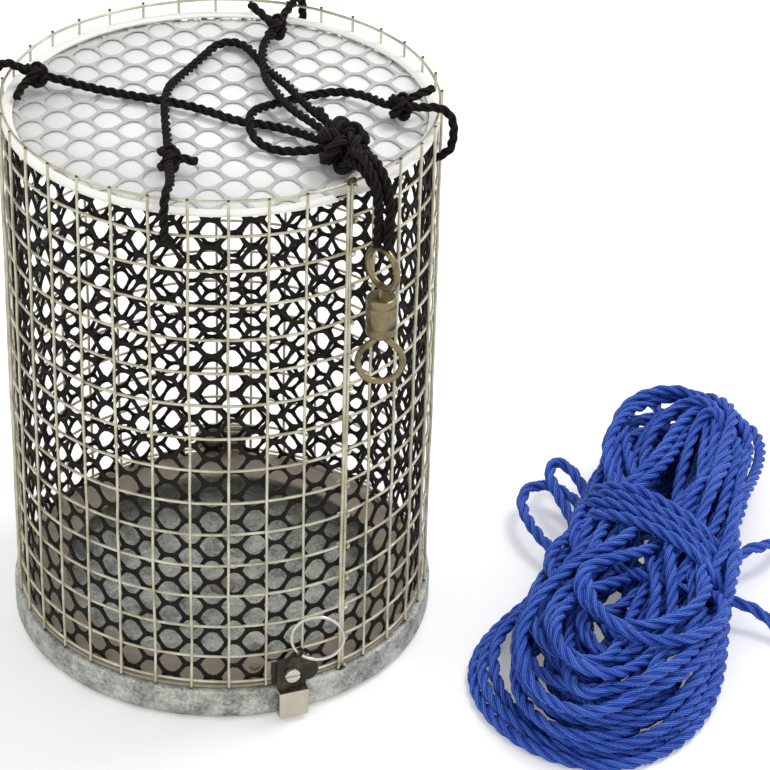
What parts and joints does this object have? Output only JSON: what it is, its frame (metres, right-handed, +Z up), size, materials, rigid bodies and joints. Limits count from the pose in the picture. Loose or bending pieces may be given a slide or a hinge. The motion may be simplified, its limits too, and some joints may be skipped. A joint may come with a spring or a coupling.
{
  "type": "cylindrical bait cage",
  "caption": "Round welded-wire bait cage with net liner, hinged weighted dish base, turn-button latch, cord bridle, barrel swivel and a loose hank of haul rope.",
  "frame": {"origin": "centre of the dish's underside, on the surface it stands on", "axes": "+Z up along the cage's axis, -Y towards the latch and front, +X towards the hank of rope; the rear hinge is at +Y"},
  "size_m": [0.2887, 0.2197, 0.2118],
  "materials": {
    "galvanised_dish": "mottled galvanised",
    "rivet_metal": "dull",
    "hinge_metal": "satin",
    "flange_taupe": "matt",
    "net_black": "matt",
    "net_grey": "matt",
    "lid_border": "matt",
    "wire_nickel": "pale plated",
    "bracket_brown": "matt",
    "latch_plated": "satin",
    "screw_plated": "bright",
    "swivel_nickel": "aged nickel",
    "cord_black": "twisted synthetic",
    "rope_blue": "laid synthetic"
  },
  "bodies": {
    "base": {"base_dish": "galvanised_dish", "base_rivet": "rivet_metal", "hinge_leaf_base": "hinge_metal", "hinge_pin": "hinge_metal", "hinge_rivets_base": "rivet_metal", "rope_hank": "rope_blue", "rope_end_upper": "rope_blue", "rope_end_lower": "rope_blue"},
    "cage": {"flange_rivets": "rivet_metal", "hinge_rivets_cage": "rivet_metal", "hinge_leaf_cage": "hinge_metal", "hinge_backing": "hinge_metal", "latch_backing": "hinge_metal", "bottom_flange": "flange_taupe", "liner_net": "net_black", "lid_net": "net_grey", "lid_ring": "lid_border", "vertical_wires": "wire_nickel", "ring_wires": "wire_nickel", "seam_rods": "wire_nickel", "latch_bracket": "bracket_brown", "latch_screw": "screw_plated", "swivel_upper_eye": "swivel_nickel", "leg_left": "cord_black", "leg_front": "cord_black", "leg_back": "cord_black", "leg_right": "cord_black", "rim_loop_left": "cord_black", "rim_loop_front": "cord_black", "rim_loop_right": "cord_black", "rim_loop_back": "cord_black", "rim_knot_left": "cord_black", "rim_knot_front": "cord_black", "rim_knot_right": "cord_black", "rim_knot_back": "cord_black", "main_knot": "cord_black", "pendant_1": "cord_black", "pendant_2": "cord_black", "pendant_3": "cord_black", "pendant_4": "cord_black"},
    "turn_button": {"latch_strip": "latch_plated"},
    "pull_ring_body": {"pull_ring": "screw_plated"},
    "barrel": {"swivel_barrel": "swivel_nickel"},
    "lower_eye": {"swivel_lower_eye": "swivel_nickel"}
  },
  "joints": [
    {"name": "dish_hinge", "type": "hinge", "parent": "base", "child": "cage", "pos_m": [0, 0.0775, 0.01245], "axis": [-1, 0, 0], "range_deg": [0, 90]},
    {"name": "latch_turn", "type": "hinge", "parent": "cage", "child": "turn_button", "pos_m": [0.02379, -0.07323, 0.0182], "axis": [0.309, -0.9511, 0], "range_deg": [0, 90]},
    {"name": "ring_flip", "type": "hinge", "parent": "turn_button", "child": "pull_ring_body", "pos_m": [0.02579, -0.07322, 0.0276], "axis": [0.6947, 0, -0.7193], "range_deg": [0, 110]},
    {"name": "swivel_turn", "type": "hinge", "parent": "cage", "child": "barrel", "pos_m": [0.05132, -0.06498, 0.157], "axis": [0, 0, 1], "continuous": true},
    {"name": "lower_eye_turn", "type": "hinge", "parent": "barrel", "child": "lower_eye", "pos_m": [0.05132, -0.06498, 0.149], "axis": [0, 0, 1], "continuous": true}
  ]
}
